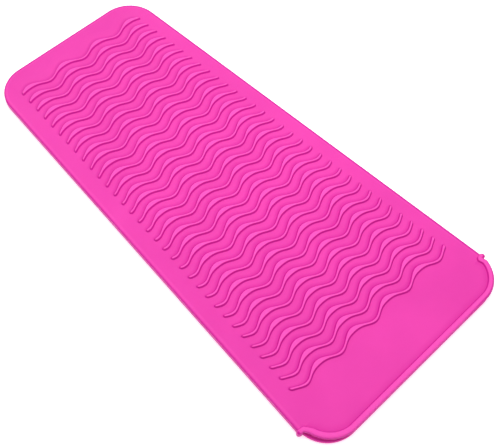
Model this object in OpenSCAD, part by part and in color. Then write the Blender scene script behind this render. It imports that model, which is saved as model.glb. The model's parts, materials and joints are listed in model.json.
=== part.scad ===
// Silicone heat mat pouch: two moulded silicone sheets bonded along three edges.
// A hot flat iron slides into the pocket through the open end, or lies on the ribs.
//
// Frame: X across the pouch, +Y towards the closed end, +Z up. The origin is at the
// middle of the footprint, on the surface that the pouch lies on.

/* [Outline] */
// Length from the open end to the closed end
pouch_len = 290; // [278:1:330]
// Width at the open end, as if the corners were square
open_w = 141.4; // [126:0.2:160]
// Width at the closed end, as if the corners were square
closed_w = 107.2; // [95:0.2:125]
// Radius of the four corners
corner_r = 20; // [18:0.5:24]

/* [Sheets] */
// Thickness of each silicone sheet
sheet_t = 2; // [1.8:0.1:2.4]
// Slit between the sheets while the pocket is empty
pocket_gap = 0.6; // [0.4:0.1:1.2]
// Width of the bonded edge on the two sides and the closed end
seam_w = 3.5; // [3:0.1:5]
// Rounding of the bonded edge
edge_r = 1; // [0.5:0.1:1.5]

/* [Mouth] */
// Distance from the open end to the middle of the ears, where the bonded sides end
ear_at = 17.6; // [17.2:0.1:18.4]
// How far an ear stands out past the side
ear_out = 1.1; // [0.5:0.1:2.5]
// How far the sides of both lips are set in from the pouch's sides
lip_in = 1.2; // [0.6:0.1:1.6]
// Thickness of the raised bead along the upper lip, with the lip's own thickness in it
bead_d = 2.9; // [2.6:0.1:3.2]
// Width of the bead
bead_w = 3.6; // [3.2:0.1:4.2]
// Diameter of the ears
ear_d = 3; // [2.6:0.1:3.1]
// Distance from the open end to the line that the upper lip bends on
lip_depth = 14; // [10:0.1:14.2]
// Clearance around the rounded edge that the upper lip bends on
bend_gap = 0.5; // [0.5:0.05:0.6]
// Width of the rounded rim along the free edge of the lower sheet
rim_w = 2; // [1.5:0.1:2.5]

/* [Ribs] */
// Rows of wavy ribs on each face
rib_rows = 33; // [5:1:33]
// Distance from one row to the next
rib_pitch = 7.44; // [7.2:0.01:7.5]
// Length of one wave
wave_len = 25.3; // [22:0.1:30]
// Distance from the closed end to the first row's lowest point
rib_start = 21.2; // [19:0.1:24]
// Bare margin between the side edge and the rib tips
rib_margin = 9.5; // [8:0.1:14]
// How far a rib's foot rises from trough to crest
wave_rise = 3.6; // [2:0.1:4]
// How much broader the crests are than the troughs
crest_bulge = 0.3; // [0:0.05:0.4]
// Width of a rib at a trough
rib_thin = 1.7; // [1.4:0.1:2.4]
// Width of a rib at a crest
rib_thick = 3.1; // [2.4:0.1:3.8]
// Height of the ribs on the upper face
rib_h = 1; // [0.5:0.1:1.4]
// Height of the grip ribs on the underside
grip_h = 0.6; // [0.4:0.1:1]

/* [Hidden] */
$fn = 96;

// Heights
bottom_z = grip_h;
pocket_z = bottom_z + sheet_t;
top_under_z = pocket_z + pocket_gap;
face_z = top_under_z + sheet_t;
body_t = face_z - bottom_z;
bead_r = bead_d / 2;
// Rounding of the bead's shoulder on the inside
shoulder_r = (bead_d - sheet_t) * 0.8;
ear_r = ear_d / 2;
// The ears' tops are level with the bead's
ear_z = top_under_z + bead_d - ear_r;

// Lengthwise places
open_y = -pouch_len / 2;
closed_y = pouch_len / 2;
ear_y = open_y + ear_at;
// The bonded sides end at the ears, and both lips start on the ears' open side
lip_end = ear_y - ear_r;
lip_r = corner_r - lip_in;
bend_y = open_y + lip_depth;
bend_z = top_under_z + sheet_t / 2;
bend_r = sheet_t / 2;
// The bead stops short of the bend line, so that it clears the sheet when the lip stands up
bead_end_y = bend_y - bead_r;

// Taper of the sides
taper = atan((open_w - closed_w) / 2 / pouch_len);
big = 2 * pouch_len;
rib_steps = 8;
cap_steps = 4;
silicone = [0.96, 0.28, 0.69];
bead_tint = [0.99, 0.40, 0.78];
rib_tint = [0.90, 0.20, 0.60];
seam_tint = [0.98, 0.34, 0.74];

// Half of the pouch's width at a place along its length
function half_w(y) = (open_w + closed_w) / 4 - y * tan(taper);

// Centre of the right-hand corner arc at the open end, for an outline pulled in by side and end
function open_corner(r, side, end) =
    let(y = open_y + end + r) [half_w(y) - (side + r) / cos(taper), y];

// The same at the closed end
function closed_corner(r, side, end) =
    let(y = closed_y - end - r) [half_w(y) - (side + r) / cos(taper), y];

// Rounded tapered outline, pulled in by side on both sides and by end at both ends
module outline(side, end_open, end_closed, r_open, r_closed) {
    a = open_corner(r_open, side, end_open);
    b = closed_corner(r_closed, side, end_closed);
    out = [cos(taper), sin(taper)];
    right = [a + [0, -r_open], a + r_open * out, b + r_closed * out, b + [0, r_closed]];
    left = [for (i = [3:-1:0]) [-right[i][0], right[i][1]]];
    polygon(concat(right, left));
    for (s = [-1, 1]) {
        translate([s * a[0], a[1]]) circle(r_open);
        translate([s * b[0], b[1]]) circle(r_closed);
    }
}

// Outline of the pocket inside the bonded edge, carried on straight past the open end
module pocket_outline() {
    outline(seam_w, -corner_r, seam_w, corner_r - seam_w, corner_r - seam_w);
}

// Outline of both lips, which are a little narrower than the pouch and reach the open end
module lip_outline(inset = 0) {
    outline(lip_in + inset, inset, seam_w, lip_r - inset, corner_r - seam_w);
}

// Keeps what lies on the open side, or the closed side, of a line across the pouch
module open_side(y) {
    intersection() {
        children();
        translate([-big / 2, y - big]) square([big, big]);
    }
}
module closed_side(y) {
    intersection() {
        children();
        translate([-big / 2, y]) square([big, big]);
    }
}

// Lower sheet: its free lip reaches the rim, and the rest lies inside the bonded edge
module bottom_sheet() {
    color(silicone)
    difference() {
        translate([0, 0, bottom_z]) linear_extrude(sheet_t) {
            closed_side(lip_end) pocket_outline();
            open_side(lip_end) lip_outline(rim_w);
        }
        ear(1);
        ear(-1);
    }
}

// Upper sheet, up to the line that the lip bends on; that edge is hollowed to clear the lip's
module top_sheet() {
    color(silicone)
    difference() {
        translate([0, 0, top_under_z]) linear_extrude(sheet_t) {
            closed_side(lip_end) pocket_outline();
            closed_side(bend_y) open_side(lip_end) lip_outline();
        }
        bend_bar(bend_r + bend_gap);
        ear(1);
        ear(-1);
    }
}

// Round bar along the bend line
module bend_bar(r) {
    translate([-open_w / 2, bend_y, bend_z]) rotate([0, 90, 0]) cylinder(r = r, h = open_w);
}

// Upper lip: the free part of the upper sheet, with a half-round edge on the bend line
module upper_lip() {
    color(silicone) {
        translate([0, 0, top_under_z])
        linear_extrude(sheet_t) open_side(bend_y) lip_outline(bead_w);
        intersection() {
            bend_bar(bend_r);
            translate([0, 0, top_under_z]) linear_extrude(sheet_t) lip_outline(bead_w);
        }
    }
}

// Section of the bead: x is 0 on the free edge, which is half round, and the lip meets the inside
module bead_section() {
    translate([-bead_r, bead_r]) circle(bead_r, $fn = 48);
    translate([-bead_w, 0]) square([bead_w - bead_r, bead_d - shoulder_r]);
    translate([shoulder_r - bead_w, 0]) square([bead_w - bead_r - shoulder_r, bead_d]);
    translate([shoulder_r - bead_w, bead_d - shoulder_r]) circle(shoulder_r, $fn = 48);
}

// Raised bead along the free edge of the upper lip
module lip_bead() {
    color(bead_tint)
    translate([0, 0, top_under_z])
    edge_sweep(open_corner(lip_r, lip_in, 0), lip_r, bead_end_y) bead_section();
}

// Sweeps a section along the open end and round both corners, up to a line across the pouch
module edge_sweep(corner, r, stop_y) {
    intersection() {
        union() {
            for (s = [0, 1]) mirror([s, 0, 0]) translate([0, corner[1], 0]) {
                translate([corner[0], -r, 0]) rotate([90, 0, -90])
                linear_extrude(corner[0]) children();
                translate([corner[0], 0, 0]) rotate([0, 0, -90])
                rotate_extrude(angle = 90) translate([r, 0]) children();
            }
        }
        translate([-big / 2, stop_y - big, -big / 2]) cube(big);
    }
}

// Half-round rim along the free edge of the lower sheet, from ear to ear
module lower_lip_rim() {
    color(seam_tint)
    translate([0, 0, bottom_z])
    edge_sweep(open_corner(lip_r, lip_in, 0), lip_r, lip_end) rim_section();
}

module rim_section() {
    r = sheet_t / 2;
    translate([-rim_w, 0]) square([rim_w - r, sheet_t]);
    intersection() {
        translate([-r, r]) circle(r, $fn = 48);
        translate([-r, 0]) square([r, sheet_t]);
    }
}

// Section of the bonded edge: x is 0 on the outside, and both outer edges are rounded
module seam_section() {
    translate([-seam_w, 0]) square([seam_w - edge_r, body_t]);
    translate([-edge_r, edge_r]) square([edge_r, body_t - 2 * edge_r]);
    for (z = [edge_r, body_t - edge_r]) {
        translate([-edge_r, z]) circle(edge_r, $fn = 48);
    }
}

// Bonded edge along one side, from the ear to the closed end's corner
module seam_side() {
    b = closed_corner(corner_r, 0, 0);
    color(seam_tint)
    intersection() {
        translate([b[0], b[1], bottom_z]) rotate([0, 0, taper]) translate([corner_r, 0, 0])
        rotate([90, 0, 0]) linear_extrude(pouch_len) seam_section();
        translate([-big / 2, ear_y + ear_r, -big / 2]) cube(big);
    }
}
module seam_right() {
    seam_side();
}
module seam_left() {
    mirror([1, 0, 0]) seam_side();
}

// Bonded edge across the closed end, with its two corners
module seam_closed_end() {
    b = closed_corner(corner_r, 0, 0);
    color(seam_tint)
    for (s = [0, 1]) mirror([s, 0, 0]) translate([0, b[1], bottom_z]) {
        translate([0, corner_r, 0]) rotate([90, 0, 90]) linear_extrude(b[0]) seam_section();
        translate([b[0], 0, 0]) rotate([0, 0, 90]) mirror([0, 1, 0])
        rotate_extrude(angle = 90 - taper) translate([corner_r, 0]) seam_section();
    }
}

// Ear where the bead ends: a round bar on top, over a block as deep as the bonded edge
module ear(s) {
    seam_x = half_w(ear_y) - seam_w;
    inner_x = half_w(ear_y) - lip_in - bead_w;
    tip_x = half_w(ear_y) + ear_out - ear_r;
    flip = s < 0 ? 1 : 0;
    mirror([flip, 0, 0]) {
        translate([inner_x, ear_y, ear_z]) rotate([0, 90, 0])
        cylinder(r = ear_r, h = tip_x - inner_x, $fn = 48);
        translate([tip_x, ear_y, ear_z]) sphere(ear_r, $fn = 48);
        translate([tip_x, ear_y, bottom_z]) cylinder(r = ear_r, h = ear_z - bottom_z, $fn = 48);
        translate([seam_x, ear_y - ear_r, bottom_z])
        cube([tip_x - seam_x, ear_d, ear_z - bottom_z]);
    }
}
module ear_right() {
    color(bead_tint) ear(1);
}
module ear_left() {
    color(bead_tint) ear(-1);
}

// Foot of a rib on the open side and on the closed side, above the row's lowest point
function near_foot(x) =
    let(a = 360 * x / wave_len)
    wave_rise / 2 * (1 - cos(a)) + crest_bulge * (1 - cos(2 * a));
function far_foot(x) =
    let(a = 360 * x / wave_len)
    rib_thin + (wave_rise + rib_thick - rib_thin) / 2 * (1 - cos(a));
function rib_mid(x) = (near_foot(x) + far_foot(x)) / 2;

// Where a row's ribs end: the margin is measured at the height of the tip
function rib_end(y) =
    let(first = half_w(y) - rib_margin)
    half_w(y + rib_mid(first)) - rib_margin;

// Outline of one wavy rib with round tips, from its near foot round to its far foot
module rib_outline(y) {
    tip = rib_end(y) - rib_thin / 2;
    n = round(2 * tip / wave_len * rib_steps);
    r = (far_foot(tip) - near_foot(tip)) / 2;
    xs = [for (i = [0:n]) tip * (2 * i / n - 1)];
    caps = [for (i = [1:cap_steps - 1]) -90 + 180 * i / cap_steps];
    near = [for (x = xs) [x, near_foot(x)]];
    right_tip = [for (a = caps) [tip + r * cos(a), rib_mid(tip) + r * sin(a)]];
    far = [for (i = [n:-1:0]) [xs[i], far_foot(xs[i])]];
    left_tip = [for (a = caps) [-tip - r * cos(a), rib_mid(tip) - r * sin(a)]];
    translate([0, y]) polygon(concat(near, right_tip, far, left_tip));
}

// All rows of ribs, h high
module rib_field(h) {
    for (i = [0:rib_rows - 1]) {
        linear_extrude(h) rib_outline(closed_y - rib_start - i * rib_pitch);
    }
}
module top_ribs() {
    color(rib_tint) translate([0, 0, face_z]) rib_field(rib_h);
}
module underside_ribs() {
    color(rib_tint) rib_field(grip_h);
}

bottom_sheet();
underside_ribs();
top_sheet();
top_ribs();
seam_left();
seam_right();
seam_closed_end();
ear_left();
ear_right();
lower_lip_rim();
upper_lip();
lip_bead();
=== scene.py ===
"""Looks of the silicone heat mat pouch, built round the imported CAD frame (metres, +Y to the closed end)."""
import json
import math

import bpy
import numpy as np
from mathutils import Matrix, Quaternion, Vector


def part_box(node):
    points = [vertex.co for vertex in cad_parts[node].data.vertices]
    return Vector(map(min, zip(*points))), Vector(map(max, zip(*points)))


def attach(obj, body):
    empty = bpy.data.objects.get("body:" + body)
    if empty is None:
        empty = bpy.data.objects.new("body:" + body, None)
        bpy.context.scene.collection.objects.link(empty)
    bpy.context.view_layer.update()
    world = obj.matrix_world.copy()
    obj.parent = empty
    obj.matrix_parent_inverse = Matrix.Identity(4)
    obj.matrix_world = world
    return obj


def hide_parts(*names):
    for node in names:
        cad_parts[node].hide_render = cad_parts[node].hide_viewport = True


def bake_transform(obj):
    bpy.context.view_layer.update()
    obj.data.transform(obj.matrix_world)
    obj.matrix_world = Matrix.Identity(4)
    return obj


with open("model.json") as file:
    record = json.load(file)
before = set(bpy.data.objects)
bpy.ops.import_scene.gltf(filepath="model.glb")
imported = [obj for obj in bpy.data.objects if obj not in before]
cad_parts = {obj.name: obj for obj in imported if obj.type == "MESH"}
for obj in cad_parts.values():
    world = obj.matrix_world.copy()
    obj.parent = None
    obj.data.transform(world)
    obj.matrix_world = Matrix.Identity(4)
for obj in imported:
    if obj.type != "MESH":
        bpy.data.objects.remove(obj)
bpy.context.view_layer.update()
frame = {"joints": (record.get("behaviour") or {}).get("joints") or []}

MM = 0.001

# ---------------------------------------------------------------- sizes from the frame
low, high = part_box("bottom_sheet"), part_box("top_sheet")
BOTTOM_Z, POCKET_Z = low[0].z, low[1].z
UNDER_Z, FACE_Z = high[0].z, high[1].z
RIB_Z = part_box("top_ribs")[1].z
OPEN_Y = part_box("lower_lip_rim")[0].y
CLOSED_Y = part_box("seam_closed_end")[1].y
ear_low, ear_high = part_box("ear_right")
EAR_Y = (ear_low.y + ear_high.y) / 2
EAR_R = (ear_high.y - ear_low.y) / 2
EAR_TIP_X = ear_high.x
bead_low, bead_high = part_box("lip_bead")
BEAD_R = (bead_high.z - bead_low.z) / 2
BEAD_Z = (bead_high.z + bead_low.z) / 2
BEND = Vector(frame["joints"][0]["pos_m"])

# ---------------------------------------------------------------- sizes repeated from the design
OPEN_W = 141.4 * MM
CLOSED_W = 107.2 * MM
CORNER_R = 20 * MM
LIP_IN = 1.2 * MM
BEAD_W = 3.6 * MM
RIB_ROWS = 33
RIB_PITCH = 7.44 * MM
WAVE_LEN = 25.3 * MM
RIB_START = 21.2 * MM
RIB_MARGIN = 9.5 * MM
WAVE_RISE = 3.6 * MM
CREST_BULGE = 0.3 * MM
RIB_THIN = 1.7 * MM
RIB_THICK = 3.1 * MM

# ---------------------------------------------------------------- sizes of the looks
# Rounding of the bonded edge, and the faint moulding line where the two sheets meet
EDGE_R = 1.0 * MM
PARTING_Z = (BOTTOM_Z + FACE_Z) / 2
PARTING_GROOVE = 0.12 * MM
# Run of the soft slope on the bead's inner side, and how deep its foot is sunk into the face
BEAD_SLOPE = 0.7 * MM
BEAD_SUNK = 0.02 * MM
# The bead's crown line: how far in from the centre line, less so on an ear, and its rise
CROWN_IN = 0.9 * MM
EAR_CROWN_IN = 0.06 * MM
CROWN_RISE = 0.03 * MM
# Fillet, draft and top rounding of a rib, the rise of its crown and the run that it takes
RIB_FILLET = 0.50 * MM
RIB_TOP_R = 0.30 * MM
RIB_DRAFT = 0.20 * MM
RIB_CROWN = 0.04 * MM
RIB_CROWN_RUN = 1.2 * MM
# How deep a rib's foot is sunk into the sheet, and the height above which it isn't
RIB_SUNK = 0.03 * MM
RIB_LEAST = 0.02 * MM
# The outermost stretch of a rib lies a little nearer the closed end, on the left more than on the right
TAIL_LIFT = {-1: 1.2 * MM, 1: 0.3 * MM}
TAIL_FROM = 46.5 * MM
TAIL_RUN = 8 * MM
# How much earlier the ribs end on the left
LEFT_TIP_IN = 1.3 * MM
# Centre-line radius where the bead turns out to the ear
EAR_TURN_R = 2.0 * MM
# The lip bends between the bend line and this far past it
BEND_LENGTH = 8 * MM
# The soft upper lip sits this far to the right of the lower one, reached over a short run past the ears
LIP_SHIFT = 1.4 * MM
SHIFT_RUN = 4 * MM
# Where along X the shifted bead begins to hang over the lower lip, and over what run; from there the painted
# shade on the bead's outer side reaches further up
OVERHANG_SHADE_FROM = 25 * MM
OVERHANG_SHADE_RUN = 30 * MM

# ---------------------------------------------------------------- painted light and shade: 1 painted highlight, 0 plain, -1 painted shade
# Painted shade round a bonded edge from the face to the moulding line, and painted shade with a little
# painted highlight round the lower lip's rim from below, darkest in the slit under the bead
EDGE_PAINTED_SHADE = (-0.1, -0.4, -0.7, -0.9, -1, -1, -1)
RIM_PAINTED_SHADING = (0, -0.3, -0.5, -0.5, -0.3, -0.1, 0, 0.1, 0, -0.6, -1, -1)
# Painted shade up the soft slope on the bead's inner side, ending in a little painted highlight at its top
SLOPE_PAINTED_SHADING = (-0.6, -0.9, -1, -1, -1, -1, -0.8, -0.2, 0.4)
# Painted highlight on top of the bead and the ears, and painted shade on steep sides
TOP_PAINTED_HIGHLIGHT = 0.7
PAINTED_SIDE_SHADE = -1.0
# Slope in degrees that is plain, with painted shade below and painted highlight above, how much further up
# that is where the lip hangs over the one below, and the turn from there to a full painted highlight
PLAIN_SLOPE = 45
OVERHANG_SHADE_SLOPE = 28
PAINTED_SHADING_TURN = 20
# Painted shade on a rib's foot, how far the painted shade of its side goes past the draft, and half the run
# from painted shade to painted highlight
RIB_FOOT_PAINTED_SHADE = -0.6
RIB_SIDE_SHADE_REACH = 0.03 * MM
RIB_PAINTED_SHADING_RUN = 0.12 * MM
# The painted highlight in the middle of a broad rib is weaker by this much, from this far inside the foot
# line on
RIB_MIDDLE_LESS_HIGHLIGHT = 0.3
RIB_MIDDLE_FROM = 0.7 * MM
RIB_MIDDLE_RUN = 0.6 * MM
# Painted shade on the face beside the bead, over this reach
BEAD_PAINTED_SHADE = 0.35
BEAD_SHADE_REACH = 3.5 * MM
# The same painted shade past each rib's far foot. Past that reach the face gets the least bit of painted
# highlight
RIB_PAINTED_SHADE = 0.8
RIB_SHADE_REACH = 2.6 * MM
RIB_SHADE_FLOOR = -0.05
# That painted shade fades out over this run before the rib tips
RIB_SHADE_RUN = 2 * MM

TAPER = math.atan((OPEN_W - CLOSED_W) / 2 / (CLOSED_Y - OPEN_Y))
# A grid's row that is no further than this from the one before is left out
LEAST_GAP = 0.02 * MM


def half_w(y):
    """Half of the pouch's width at a place along its length."""
    return (OPEN_W + CLOSED_W) / 4 - y * math.tan(TAPER)


class Outline:
    """Rounded tapered outline, pulled in by side on both sides, and by its own amount at each end."""

    def __init__(self, side, at_open, at_closed, r_open, r_closed):
        self.r = (r_open, r_closed)
        self.y0 = OPEN_Y + at_open
        self.y1 = CLOSED_Y - at_closed
        self.side = side
        y = (self.y0 + r_open, self.y1 - r_closed)
        self.centre = [
            (half_w(y[k]) - (side + self.r[k]) / math.cos(TAPER), y[k]) for k in (0, 1)
        ]
        # Places along Y where the corner arcs meet the sides
        self.tangent = [self.centre[k][1] + self.r[k] * math.sin(TAPER) for k in (0, 1)]

    def half_width(self, y):
        """Distance from the centre line to the outline."""
        for k, inside in ((0, y < self.tangent[0]), (1, y > self.tangent[1])):
            if inside:
                cx, cy = self.centre[k]
                return cx + math.sqrt(max(self.r[k] ** 2 - (y - cy) ** 2, 0))
        return half_w(y) - self.side / math.cos(TAPER)

    def normal(self, x, y):
        """Outward direction at a point of the right-hand side."""
        for k, inside in ((0, y < self.tangent[0]), (1, y > self.tangent[1])):
            if inside:
                cx, cy = self.centre[k]
                d = np.array([x - cx, y - cy])
                return d / np.linalg.norm(d)
        return np.array([math.cos(TAPER), math.sin(TAPER)])

    def rows(self, corner_steps, spacing, extra=()):
        """Places along Y for a grid's rows: by angle round the corners, by spacing in between, and extra."""
        (_, open_cy), (_, closed_cy) = self.centre
        turn = steps(0, math.pi / 2 + TAPER, corner_steps)
        ys = [open_cy - self.r[0] * math.cos(a) for a in turn]
        turn = steps(math.pi / 2 - TAPER, 0, corner_steps)
        ys += [closed_cy + self.r[1] * math.cos(a) for a in turn]
        n = math.ceil((self.tangent[1] - self.tangent[0]) / spacing)
        ys += list(np.linspace(self.tangent[0], self.tangent[1], n + 1))[1:-1]
        ys = sorted(ys + list(extra))
        keep = [ys[0]]
        for y in ys[1:]:
            if y - keep[-1] > LEAST_GAP:
                keep.append(y)
        return keep


def steps(a, b, n):
    """n + 1 even steps from a to b."""
    return [a + (b - a) * i / n for i in range(n + 1)]


def smooth(t):
    """Eases from 0 to 1 while t does."""
    t = min(max(t, 0.0), 1.0)
    return t * t * (3 - 2 * t)


def make_mesh(name, verts, faces, sharp=math.radians(50)):
    """A mesh object with smooth faces, and creases where the surface really turns.

    Each vertex is (x, y, z, painted shading). The painted shading is for the materials: 1 is a painted
    highlight on a raised top, 0 is a flat, and -1 is painted shade on a steep side."""
    mesh = bpy.data.meshes.new(name)
    mesh.from_pydata([v[:3] for v in verts], [], faces)
    mesh.attributes.new("painted_shading", "FLOAT", "POINT").data.foreach_set("value", [v[3] for v in verts])
    mesh.update()
    mesh.polygons.foreach_set("use_smooth", [True] * len(mesh.polygons))
    mesh.set_sharp_from_angle(angle=sharp)
    obj = bpy.data.objects.new(name, mesh)
    bpy.context.scene.collection.objects.link(obj)
    return obj


def painted_shading_of_slope(rise, overhang_shade=0.0):
    """Painted light of a rounded edge from the upward part of its normal: painted highlight on top, painted
    shade at the side.

    The painted shade comes further up where the lip hangs over the one below."""
    up = math.degrees(math.asin(min(rise, 1.0)))
    plain = PLAIN_SLOPE + OVERHANG_SHADE_SLOPE * overhang_shade
    return min(max((up - plain) / PAINTED_SHADING_TURN, -1), TOP_PAINTED_HIGHLIGHT)


# ---------------------------------------------------------------- sheets
def column_places(half, count):
    """Places across the sheet: close together near both sides, and even in between."""
    side = [half - e for e in EDGE_COLUMNS]
    inner = count - 2 * len(side)
    return [-x for x in side] + steps(-side[-1], side[-1], inner + 1)[1:-1] + side[::-1]


def slab(outline, ys, columns, first_z, last_z, section_of, painted_shading_of=None):
    """A moulded sheet: a grid inside the outline at first_z and another at last_z, joined by an edge band.

    section_of(y, n) gives the band's section at a place on the outline with the outward direction n, as
    (distance out, z, painted shading) points.
    The last argument, a function of (x, y), gives the painted light and shade of the first grid's points."""
    verts, faces = [], []
    m = columns + 1
    places = {y: column_places(outline.half_width(y), m) for y in ys}
    for z in (first_z, last_z):
        for y in ys:
            verts += [(x, y, z, painted_shading_of(x, y) if painted_shading_of and z == first_z else 0.0) for x in places[y]]
    size = len(ys) * m
    for j in range(len(ys) - 1):
        for i in range(columns):
            a = j * m + i
            quad = (a, a + 1, a + m + 1, a + m)
            faces.append(quad)
            faces.append(tuple(v + size for v in reversed(quad)))
    # The loop round the grid, anticlockwise from the open end's left corner
    last = len(ys) - 1
    loop = [(0, i) for i in range(columns)] + [(j, columns) for j in range(last)]
    loop += [(last, i) for i in range(columns, 0, -1)] + [(j, 0) for j in range(last, 0, -1)]
    rings = []
    for j, i in loop:
        y = ys[j]
        x = verts[j * m + i][0]
        if i in (0, columns):
            n = outline.normal(abs(x), y)
            n = np.array([math.copysign(n[0], x), n[1]])
        else:
            n = np.array([0, -1.0 if j == 0 else 1.0])
        ring = [j * m + i]
        for out, z, painted_shading in section_of(y, n)[1:-1]:
            ring.append(len(verts))
            verts.append((x + n[0] * out, y + n[1] * out, z, painted_shading))
        ring.append(size + j * m + i)
        rings.append(ring)
    for k, ring in enumerate(rings):
        after = rings[(k + 1) % len(rings)]
        for a, b in zip(range(len(ring) - 1), range(1, len(ring))):
            faces.append((ring[a], ring[b], after[b], after[a]))
    if first_z < last_z:
        faces = [tuple(reversed(f)) for f in faces]
    return verts, faces


def arc(cx, cz, r, a0, a1, n):
    """Points of an arc in a section, angles in degrees from the outward direction."""
    return [
        (cx + r * math.cos(math.radians(a)), cz + r * math.sin(math.radians(a)))
        for a in steps(a0, a1, n)
    ]


# Both sheets' flat fields end on the bead's centre line, and on the same line round the closed end
FIELD_IN = LIP_IN + BEAD_R
FIELD = Outline(FIELD_IN, BEAD_R, FIELD_IN, CORNER_R - FIELD_IN, CORNER_R - FIELD_IN)
ARC_STEPS = 6
CORNER_STEPS = 20
ROW_SPACING = 6 * MM
# A row just before and just after the ears, where the edge changes from bonded to free
EAR_ROWS = [EAR_Y - 0.3 * MM, EAR_Y + 0.3 * MM]
COLUMNS = 44
# The columns next to both sides, by their distance from the outline
EDGE_COLUMNS = (0, 2.2 * MM, 3.4 * MM, 4.8 * MM, 6.6 * MM)


def bonded_section(face_z, inner_z, up, n):
    """Section of one sheet's half of the bonded edge: round at the face, then down to the moulding line.

    On the far side as seen from the mouth's left, the painted shade starts further in. The moulding line's
    groove has painted shade too."""
    s = FIELD_IN
    # Painted shade on the edges turned away from the mouth's left
    far = smooth(n[0] + n[1])
    edge = arc(s - EDGE_R, face_z - up * EDGE_R, EDGE_R, 90 * up, 0, ARC_STEPS)
    edge_painted_shade = [painted_shading - (1 + painted_shading) * far for painted_shading in EDGE_PAINTED_SHADE]
    # A faint painted highlight line inside the edge, whose outer half has painted shade on the far side
    painted_line = [(s - 1.9 * EDGE_R, face_z, 0.3), (s - 1.4 * EDGE_R, face_z, 0.2 - 0.6 * far)]
    groove = [
        (s, PARTING_Z + up * 1.5 * PARTING_GROOVE, -0.9),
        (s - PARTING_GROOVE, PARTING_Z, -1),
    ]
    rounded = [(out, z, painted_shading) for (out, z), painted_shading in zip(edge, edge_painted_shade)]
    return [(0, face_z, 0)] + painted_line + rounded + groove + [(0, PARTING_Z, 0), (0, inner_z, 0)]


def upper_section(y, n):
    """Edge of the upper sheet: its half of the bonded edge, or a plain wall hidden in the bead."""
    if y >= EAR_Y:
        return bonded_section(FACE_Z, UNDER_Z, 1, n)
    return [(0, z, 0) for z in steps(FACE_Z, UNDER_Z, ARC_STEPS + 7)]


def lower_section(y, n):
    """Edge of the lower sheet: its half of the bonded edge, or the lower lip's half-round rim."""
    if y >= EAR_Y:
        return bonded_section(BOTTOM_Z, POCKET_Z, -1, n)
    r = (POCKET_Z - BOTTOM_Z) / 2
    rim = arc(BEAD_R - r, BOTTOM_Z + r, r, -90, 90, ARC_STEPS + 5)
    return [(0, BOTTOM_Z, 0)] + [(o, z, t) for (o, z), t in zip(rim, RIM_PAINTED_SHADING)] + [(0, POCKET_Z, -1)]


def shift_lip(x, y, z, painted_shading):
    """Moves the upper lip sideways, more and more past the ears."""
    return (x + LIP_SHIFT * smooth((EAR_Y - y) / SHIFT_RUN), y, z, painted_shading)


def bead_painted_shade(x, y):
    """Painted shade on the face beside the bead: a little at the bead's foot, fading over a few mm."""
    if y > EAR_Y:
        return 0.0
    cx, cy = FIELD.centre[0]
    if y < cy and abs(x) > cx:
        inside = FIELD.r[0] - math.hypot(abs(x) - cx, y - cy)
    else:
        inside = min(y - FIELD.y0, FIELD.half_width(y) - abs(x))
    return -BEAD_PAINTED_SHADE * (1 - smooth((inside - BEAD_W + BEAD_R) / BEAD_SHADE_REACH))


def make_upper_sheet():
    """The ribbed sheet, with close rows where the lip bends."""
    bend_rows = list(np.arange(BEND.y - BEND_LENGTH - 1.5 * MM, BEND.y + 3 * MM, 0.8 * MM))
    ys = FIELD.rows(CORNER_STEPS, ROW_SPACING, bend_rows + EAR_ROWS)
    verts, faces = slab(FIELD, ys, COLUMNS, FACE_Z, UNDER_Z, upper_section, bead_painted_shade)
    return make_mesh("upper_sheet", [shift_lip(*v) for v in verts], faces)


def make_lower_sheet():
    """The plain sheet, with the lower lip's rim at the mouth."""
    ys = FIELD.rows(CORNER_STEPS, ROW_SPACING, EAR_ROWS)
    verts, faces = slab(FIELD, ys, COLUMNS, BOTTOM_Z, POCKET_Z, lower_section)
    return make_mesh("lower_sheet", verts, faces)


# ---------------------------------------------------------------- ribs
def near_foot(x):
    """Foot line of a rib on the side of the mouth, above its row's place."""
    a = 2 * math.pi * x / WAVE_LEN
    return WAVE_RISE / 2 * (1 - math.cos(a)) + CREST_BULGE * (1 - math.cos(2 * a))


def far_foot(x):
    """Foot line of a rib on the side of the closed end, above its row's place."""
    a = 2 * math.pi * x / WAVE_LEN
    return RIB_THIN + (WAVE_RISE + RIB_THICK - RIB_THIN) / 2 * (1 - math.cos(a))


def rib_mid(x):
    """Middle line between a rib's two foot lines."""
    return (near_foot(x) + far_foot(x)) / 2


def rib_end(y):
    """Where a row's rib ends: the bare margin is measured at the place of its tip along Y."""
    first = half_w(y) - RIB_MARGIN
    return half_w(y + rib_mid(first)) - RIB_MARGIN


def tail_lift(x):
    """How far a rib's outermost stretch is moved towards the closed end."""
    return TAIL_LIFT[1 if x > 0 else -1] * smooth((abs(x) - TAIL_FROM) / TAIL_RUN)


def tip_places(end):
    """Places along X round a rib's tip, past the end of its straight run."""
    reach = (far_foot(end) - near_foot(end)) / 2 + RIB_FILLET
    return [end + reach * math.sin(math.radians(a)) for a in (15, 30, 45, 60, 72, 82, 88)]


def rib_profile(d, height):
    """Height of a rib at a distance d inside its foot line: fillet, steep side, round shoulder, low crown."""
    if d <= -RIB_FILLET:
        return 0.0
    if d <= 0:
        return RIB_FILLET - math.sqrt(max(RIB_FILLET**2 - (d + RIB_FILLET) ** 2, 0))
    shoulder = height - RIB_TOP_R - RIB_CROWN
    if d <= RIB_DRAFT:
        return RIB_FILLET + (shoulder - RIB_FILLET) * d / RIB_DRAFT
    t = min((d - RIB_DRAFT) / RIB_TOP_R, 1.0)
    crown = RIB_CROWN * min((d - RIB_DRAFT) / RIB_CROWN_RUN, 1.0)
    return shoulder + RIB_TOP_R * math.sqrt(max(1 - (1 - t) ** 2, 0)) + crown


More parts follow.
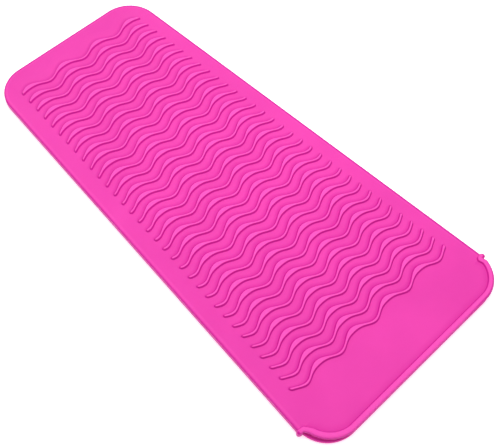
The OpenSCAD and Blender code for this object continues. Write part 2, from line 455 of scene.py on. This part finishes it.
def rib_painted_shading(d):
    """Painted light on a rib: painted shade on its foot and side, a painted highlight on its top, and a
    weaker one in a broad top's middle.
    """
    if d <= -0.9 * RIB_FILLET:
        return RIB_FOOT_PAINTED_SHADE
    shoulder = min(max((d - RIB_DRAFT - RIB_SIDE_SHADE_REACH) / RIB_PAINTED_SHADING_RUN - 1, -1), 1)
    return shoulder - RIB_MIDDLE_LESS_HIGHLIGHT * smooth((d - RIB_MIDDLE_FROM) / RIB_MIDDLE_RUN)


def one_rib(y, base_z, up, height, per_wave, insets, verts, faces):
    """Adds one closed wavy rib with round tips. up is 1 on the face and -1 on the underside.

    insets are places across the rib, by their distance inside its foot line."""
    right = rib_end(y) - RIB_THIN / 2
    left = right - LEFT_TIP_IN
    n = round((left + right) / WAVE_LEN * per_wave)
    columns = [-x for x in reversed(tip_places(left))] + steps(-left, right, n) + tip_places(right)
    widest = insets[-1]
    rings = []
    for x in columns:
        end = right if x > 0 else left
        over = max(abs(x) - end, 0)
        inner = math.copysign(min(abs(x), end), x)
        half = (far_foot(inner) - near_foot(inner)) / 2
        mid = rib_mid(inner) + rib_slope(inner) * (x - inner) + tail_lift(x)
        half_out = math.sqrt(max((half + RIB_FILLET) ** 2 - over**2, 0)) if over else half + RIB_FILLET
        squeeze = min(1.0, half_out / (widest + RIB_FILLET))
        across = [half_out - (e + RIB_FILLET) * squeeze for e in insets]
        places = [-a for a in across] + [0.0] + list(reversed(across))
        ring = []
        for a in places:
            d = half - math.hypot(a, over) if over else half - abs(a)
            z = rib_profile(d, height)
            lift = z if z > RIB_LEAST else -RIB_SUNK
            ring.append(len(verts))
            verts.append((x, y + mid + a, base_z + up * lift, rib_painted_shading(d) if up > 0 else 0.0))
        rings.append(ring)
    for a, b in zip(rings, rings[1:]):
        k = len(a)
        for i in range(k):
            quad = (a[i], b[i], b[(i + 1) % k], a[(i + 1) % k])
            faces.append(quad if up > 0 else tuple(reversed(quad)))
    ends = (tuple(rings[0]), tuple(reversed(rings[-1])))
    faces.extend(ends if up > 0 else [tuple(reversed(e)) for e in ends])


def rib_slope(x):
    """Slope of a rib's middle line across the pouch."""
    h = 0.01 * MM
    return (rib_mid(x + h) - rib_mid(x - h)) / (2 * h)


def make_ribs(name, base_z, up, height, per_wave, insets):
    """All rows of ribs of one side. per_wave is how many columns of the mesh a wave takes."""
    verts, faces = [], []
    for row in range(RIB_ROWS):
        y = CLOSED_Y - RIB_START - row * RIB_PITCH
        one_rib(y, base_z, up, height, per_wave, insets, verts, faces)
    return make_mesh(name, verts, faces, math.radians(70))


# ---------------------------------------------------------------- mouth bead and ears
def bead_path():
    """Centre line from the right ear's tip, round the mouth, as (x, y, ear share) points."""
    cx, cy = FIELD.centre[0]
    r = FIELD.r[0]
    # The turn is an arc that touches the corner's arc and the ear's line
    turn_cy = EAR_Y - EAR_TURN_R
    turn_cx = cx + math.sqrt((r + EAR_TURN_R) ** 2 - (turn_cy - cy) ** 2)
    a_touch = math.atan2(turn_cy - cy, turn_cx - cx)
    turn = []
    for t in steps(0, 1, 10):
        a = math.pi / 2 + t * (math.pi / 2 + a_touch)
        share = smooth(1 - t / 0.6)
        turn.append((turn_cx + EAR_TURN_R * math.cos(a), turn_cy + EAR_TURN_R * math.sin(a), share))
    ear = [(x, EAR_Y, 1.0) for x in steps(EAR_TIP_X - EAR_R, turn_cx, 3)][:-1]
    corner = [
        (cx + r * math.cos(a), cy + r * math.sin(a), 0.0) for a in steps(a_touch, -math.pi / 2, 28)
    ][1:]
    front = [(x, FIELD.y0, 0.0) for x in steps(cx, 0, 16)][1:]
    right = ear + turn + corner + front
    return right + [(-x, *rest) for x, *rest in reversed(right[:-1])]


def bead_section(ear, cap=math.pi / 2, overhang_shade=0.0):
    """Section as (out, z, painted shading) points round from the foot on the sheet, with out measured off the
    lip.

    ear goes from 0, a broad bead on the lip's edge, to 1, a round bar as deep as the bonded edge.
    cap under a right angle gives a ring of the ear's round end."""
    r = BEAD_R + (EAR_R - BEAD_R) * ear
    top = BEAD_R
    middle = top - r
    face = FACE_Z - BEAD_Z
    drop = (BEAD_Z + middle - r - BOTTOM_Z) * ear
    points = []
    # Inner side: a soft slope up from the face on the bead with painted shade, or the bar's other half on the
    # ear
    foot = BEAD_W - BEAD_R
    for i, t in enumerate(steps(0, 1, len(SLOPE_PAINTED_SHADING) - 1)):
        slope_o = -foot + BEAD_SLOPE * t
        slope_z = face - BEAD_SUNK + (top - face) * smooth(t)
        slope_painted_shading = SLOPE_PAINTED_SHADING[i]
        a = math.pi - t * math.pi / 2
        bar_z = middle + r * math.sin(a)
        points.append(
            (
                slope_o + (r * math.cos(a) * (1 - 0.05 * t) - slope_o) * ear,
                slope_z + (bar_z - slope_z) * ear,
                slope_painted_shading + (painted_shading_of_slope(math.sin(a) * math.sin(cap)) - slope_painted_shading) * ear,
            )
        )
    # Crown with a painted highlight, then the outer half round, painted highlight on top turning to painted
    # shade at its side
    crown_o = -CROWN_IN * (1 - ear) - EAR_CROWN_IN * ear
    points.append((crown_o, top + CROWN_RISE * (1 - ear), TOP_PAINTED_HIGHLIGHT))
    for o, z in arc(0, middle, r, 90, 0, 9):
        points.append((o, z, painted_shading_of_slope((z - middle) / r * math.sin(cap), overhang_shade)))
    points += [(o, z - drop, PAINTED_SIDE_SHADE) for o, z in arc(0, middle, r, -12, -180, 14)]
    # Close the section inside the sheet, under the slope's foot
    points.append((-foot + (foot - r) * ear, (face - 0.5 * MM) * (1 - ear), PAINTED_SIDE_SHADE))
    shrink = math.sin(cap)
    low = middle - drop
    return [
        (
            o * shrink,
            z + (shrink - 1) * (max(z - middle, 0) + min(z - low, 0)),
            PAINTED_SIDE_SHADE if cap < math.pi / 2 else painted_shading,
        )
        for o, z, painted_shading in points
    ]


def make_mouth_bead():
    """The bead round the mouth with both ears, as one closed bar that changes its section."""
    path = bead_path()
    verts, rings = [], []
    tangents = np.gradient(np.array([p[:2] for p in path]), axis=0)
    tangents /= np.linalg.norm(tangents, axis=1)[:, None]
    tangents[0] = tangents[-1] = (-1, 0)

    def ring(x, y, tangent, section):
        # Out is to the left of the path, away from the sheet
        out_x, out_y = -tangent[1], tangent[0]
        rings.append(list(range(len(verts), len(verts) + len(section))))
        for o, z, painted_shading in section:
            verts.append(shift_lip(x + out_x * o, y + out_y * o, BEAD_Z + z, painted_shading))

    caps = [math.radians(a) for a in (8, 22, 38, 54, 72)]
    tip_x = path[0][0]
    for a in caps:
        ring(tip_x + EAR_R * math.cos(a), EAR_Y, (-1, 0), bead_section(1, a))
    for (x, y, ear), tangent in zip(path, tangents):
        # Painted shade reaches further up the bead's outer side towards the right
        overhang_shade = smooth((x - OVERHANG_SHADE_FROM) / OVERHANG_SHADE_RUN)
        ring(x, y, tangent, bead_section(ear, overhang_shade=overhang_shade))
    for a in reversed(caps):
        ring(-tip_x - EAR_R * math.cos(a), EAR_Y, (-1, 0), bead_section(1, a))
    faces = []
    for a, b in zip(rings, rings[1:]):
        k = len(a)
        faces += [(a[i], a[(i + 1) % k], b[(i + 1) % k], b[i]) for i in range(k)]
    faces += [tuple(reversed(rings[0])), tuple(rings[-1])]
    return make_mesh("mouth_bead", verts, faces, math.radians(60))


# ---------------------------------------------------------------- materials
# Plain silicone, a lighter copy as painted highlight on raised tops and a darker copy as painted shade on
# steep sides
PINK = (0.745, 0.039, 0.374)
HIGHLIGHT_PINK = (0.90, 0.082, 0.485)
SHADE_PINK = (0.60, 0.006, 0.29)
# Scales of the noises: broad mottling, polish, gentle swells, mould grain and dust
MOTTLE = 28
POLISH = 90
SWELL = 60
GRAIN = 2200
DUST = 2600


def rib_painted_shade(nodes, links, place):
    """Node output with the painted shade on the face between ribs: darkest past a rib's far foot, then level.
    """

    def math_node(operation, *values):
        node = nodes.new("ShaderNodeMath")
        node.operation = operation
        for socket, value in zip(node.inputs, values):
            if isinstance(value, (int, float)):
                socket.default_value = value
            else:
                links.new(value, socket)
        return node.outputs["Value"]

    split = nodes.new("ShaderNodeSeparateXYZ")
    links.new(place.outputs["Object"], split.inputs["Vector"])
    x, y = split.outputs["X"], split.outputs["Y"]
    first_y = CLOSED_Y - RIB_START - (RIB_ROWS - 1) * RIB_PITCH
    # Height of the far foot above the row's lowest point, as far_foot() gives it
    wave = math_node("COSINE", math_node("MULTIPLY", x, 2 * math.pi / WAVE_LEN))
    swing = (WAVE_RISE + RIB_THICK - RIB_THIN) / 2
    far = math_node("SUBTRACT", RIB_THIN + swing, math_node("MULTIPLY", wave, swing))
    along = math_node("SUBTRACT", math_node("SUBTRACT", y, first_y), far)
    past = math_node("FLOORED_MODULO", along, RIB_PITCH)
    fade = math_node("SUBTRACT", 1, math_node("DIVIDE", past, RIB_SHADE_REACH))
    painted_shade = math_node("MULTIPLY", math_node("MAXIMUM", fade, RIB_SHADE_FLOOR), -RIB_PAINTED_SHADE)
    # Only from the first row to the last, and between the rib tips
    after_first = math_node("GREATER_THAN", along, 0)
    before_last = math_node("LESS_THAN", along, RIB_ROWS * RIB_PITCH)
    rows = math_node("MULTIPLY", after_first, before_last)
    tip_in_middle = (OPEN_W + CLOSED_W) / 4 - RIB_MARGIN
    tip = math_node("SUBTRACT", tip_in_middle, math_node("MULTIPLY", y, math.tan(TAPER)))
    inside = math_node("DIVIDE", math_node("SUBTRACT", tip, math_node("ABSOLUTE", x)), RIB_SHADE_RUN)
    inside = math_node("MINIMUM", math_node("MAXIMUM", inside, 0), 1)
    return math_node("MULTIPLY", painted_shade, math_node("MULTIPLY", rows, inside))


def silicone(name, ribbed=False):
    """Satin moulded silicone with fine mould grain, painted highlights on raised parts and painted shade on
    steep walls.

    With ribbed, the face also has painted shade past each rib's far foot."""
    material = bpy.data.materials.new(name)
    material.use_nodes = True
    tree = material.node_tree
    nodes, links = tree.nodes, tree.links
    shader = nodes["Principled BSDF"]
    shader.inputs["IOR"].default_value = 1.36
    shader.inputs["Subsurface Weight"].default_value = 0.10
    shader.inputs["Subsurface Radius"].default_value = (1.0, 0.25, 0.55)
    shader.inputs["Subsurface Scale"].default_value = 0.8 * MM
    place = nodes.new("ShaderNodeTexCoord")

    def noise(scale, detail):
        node = nodes.new("ShaderNodeTexNoise")
        node.inputs["Scale"].default_value = scale
        node.inputs["Detail"].default_value = detail
        links.new(place.outputs["Object"], node.inputs["Vector"])
        return node.outputs["Fac"]

    def attribute(label):
        node = nodes.new("ShaderNodeAttribute")
        node.attribute_name = label
        return node.outputs["Fac"]

    def ranged(value, from_low, from_high, to_low, to_high):
        node = nodes.new("ShaderNodeMapRange")
        node.inputs["From Min"].default_value = from_low
        node.inputs["From Max"].default_value = from_high
        node.inputs["To Min"].default_value = to_low
        node.inputs["To Max"].default_value = to_high
        links.new(value, node.inputs["Value"])
        return node.outputs["Result"]

    def added(a, b):
        node = nodes.new("ShaderNodeMath")
        links.new(a, node.inputs[0])
        links.new(b, node.inputs[1])
        return node.outputs["Value"]

    def mixed(factor, a, b):
        node = nodes.new("ShaderNodeMix")
        node.data_type = "RGBA"
        links.new(factor, node.inputs["Factor"])
        for socket, colour in ((node.inputs[6], a), (node.inputs[7], b)):
            if isinstance(colour, tuple):
                socket.default_value = (*colour, 1)
            else:
                links.new(colour, socket)
        return node.outputs[2]

    deep = tuple(c * 0.97 for c in PINK)
    pale = tuple(c * 1.02 + 0.004 for c in PINK)
    dusty = tuple(c + 0.08 for c in PINK)
    colour = mixed(ranged(noise(MOTTLE, 3), 0.35, 0.65, 0, 1), deep, pale)
    colour = mixed(ranged(noise(DUST, 2), 0.70, 0.78, 0, 0.25), colour, dusty)
    # Painted highlight on raised tops and painted shade on steep sides and hollows, from the mesh's shading
    # attribute
    painted_shading = attribute("painted_shading")
    if ribbed:
        painted_shading = added(painted_shading, rib_painted_shade(nodes, links, place))
    colour = mixed(ranged(painted_shading, 0, 1, 0, 1), colour, HIGHLIGHT_PINK)
    colour = mixed(ranged(painted_shading, 0, -1, 0, 1), colour, SHADE_PINK)
    links.new(colour, shader.inputs["Base Color"])
    links.new(ranged(noise(POLISH, 4), 0.3, 0.7, 0.42, 0.52), shader.inputs["Roughness"])

    grain = nodes.new("ShaderNodeBump")
    grain.inputs["Strength"].default_value = 0.35
    grain.inputs["Distance"].default_value = 0.02 * MM
    links.new(noise(GRAIN, 3), grain.inputs["Height"])
    swell = nodes.new("ShaderNodeBump")
    swell.inputs["Strength"].default_value = 0.4
    swell.inputs["Distance"].default_value = 0.25 * MM
    links.new(noise(SWELL, 1), swell.inputs["Height"])
    links.new(grain.outputs["Normal"], swell.inputs["Normal"])
    links.new(swell.outputs["Normal"], shader.inputs["Normal"])
    return material


def lit_paper(name, colour, roughness, glow):
    """Plain white floor, lit a little from behind like a light table, so shadows on it stay faint."""
    material = bpy.data.materials.new(name)
    material.use_nodes = True
    shader = material.node_tree.nodes["Principled BSDF"]
    shader.inputs["Base Color"].default_value = (*colour, 1)
    shader.inputs["Roughness"].default_value = roughness
    shader.inputs["Specular IOR Level"].default_value = 0.0
    shader.inputs["Emission Color"].default_value = (1, 1, 1, 1)
    shader.inputs["Emission Strength"].default_value = glow
    return material


# ---------------------------------------------------------------- camera, floor and light
def turn_to(place, aim, roll=0.0):
    """Rotation of a camera or light at place that faces aim, rolled by an angle in degrees."""
    facing = (Vector(aim) - Vector(place)).to_track_quat("-Z", "Y")
    return facing @ Quaternion((0, 0, 1), math.radians(roll))


def make_camera(place, aim, roll, lens):
    """A camera at place that faces aim."""
    data = bpy.data.cameras.new("camera")
    data.lens = lens
    data.sensor_width = 36
    data.clip_start = 0.01
    camera = bpy.data.objects.new("camera", data)
    camera.location = place
    camera.rotation_euler = turn_to(place, aim, roll).to_euler()
    bpy.context.scene.collection.objects.link(camera)
    bpy.context.scene.camera = camera


def make_floor(size):
    """A square floor of this size under the pouch."""
    bpy.ops.mesh.primitive_plane_add(size=size, location=(0, 0, 0))
    floor = bpy.context.active_object
    floor.name = "floor"
    paper = lit_paper("floor_paper", colour=(0.97, 0.97, 0.97), roughness=0.9, glow=0.45)
    floor.data.materials.append(paper)


def make_light(name, place, size, power, glossy=True):
    """A softbox that faces the object. Without glossy it leaves no reflection of itself on the silicone."""
    data = bpy.data.lights.new(name, "AREA")
    data.shape = "RECTANGLE"
    data.size, data.size_y = size
    data.energy = power
    light = bpy.data.objects.new(name, data)
    light.location = place
    light.visible_glossy = glossy
    light.rotation_euler = turn_to(place, (0, 0, 0)).to_euler()
    bpy.context.scene.collection.objects.link(light)


def make_world(horizon, overhead):
    """White studio light, brightest overhead and dimmer towards the horizon."""
    world = bpy.data.worlds.new("studio")
    world.use_nodes = True
    nodes, links = world.node_tree.nodes, world.node_tree.links
    place = nodes.new("ShaderNodeTexCoord")
    split = nodes.new("ShaderNodeSeparateXYZ")
    strength = nodes.new("ShaderNodeMapRange")
    strength.inputs["To Min"].default_value = horizon
    strength.inputs["To Max"].default_value = overhead
    links.new(place.outputs["Generated"], split.inputs["Vector"])
    links.new(split.outputs["Z"], strength.inputs["Value"])
    links.new(strength.outputs["Result"], nodes["Background"].inputs["Strength"])
    nodes["Background"].inputs["Color"].default_value = (1, 1, 1, 1)
    bpy.context.scene.world = world


# From the mouth's left, looking down at 60 degrees, as a product shot of a flat object does
make_camera(place=(-0.1740, -0.1945, 0.4112), aim=(-0.005537, -0.025595, 0), roll=1.4432, lens=62.713)
bpy.context.scene.view_settings.view_transform = "Standard"
make_world(horizon=0.3, overhead=0.95)
make_light("softbox_above", place=(0.06, 0.03, 0.44), size=(0.25, 0.25), power=1.12, glossy=False)
make_light("softbox_back", place=(0.25, 0.75, 0.8), size=(0.9, 0.7), power=1.0)
# So wide that its edge lies at the horizon
make_floor(80)

# ---------------------------------------------------------------- pieces
sheet_look = silicone("silicone_sheet")
upper_look = silicone("silicone_upper_sheet", ribbed=True)
rib_look = silicone("silicone_ribs")
bead_look = silicone("silicone_bead")

upper_sheet = make_upper_sheet()
upper_sheet.data.materials.append(upper_look)
lower_sheet = make_lower_sheet()
lower_sheet.data.materials.append(sheet_look)
# Places across a rib of the face and of the underside, by their distance inside its foot line
FACE_INSETS = [-RIB_FILLET, -0.3 * MM, -0.12 * MM, 0.0, RIB_DRAFT, 0.28 * MM, 0.40 * MM, 0.70 * MM]
top_ribs = make_ribs("top_ribs_moulded", FACE_Z, 1, RIB_Z - FACE_Z, per_wave=16, insets=FACE_INSETS)
top_ribs.data.materials.append(rib_look)
GRIP_INSETS = [-RIB_FILLET, -0.15 * MM, 0.0, RIB_DRAFT, 0.32 * MM, 0.5 * MM]
grip_ribs = make_ribs("underside_ribs_moulded", BOTTOM_Z, -1, BOTTOM_Z, per_wave=12, insets=GRIP_INSETS)
grip_ribs.data.materials.append(sheet_look)
mouth_bead = make_mouth_bead()
mouth_bead.data.materials.append(bead_look)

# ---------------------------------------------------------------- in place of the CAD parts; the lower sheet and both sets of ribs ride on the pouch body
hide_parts("top_sheet", "upper_lip", "seam_left", "seam_right", "seam_closed_end")
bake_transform(upper_sheet)
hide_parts("lip_bead", "ear_left", "ear_right")
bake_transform(mouth_bead)
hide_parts("bottom_sheet", "lower_lip_rim")
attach(lower_sheet, "pouch")
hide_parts("top_ribs")
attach(top_ribs, "pouch")
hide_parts("underside_ribs")
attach(grip_ribs, "pouch")
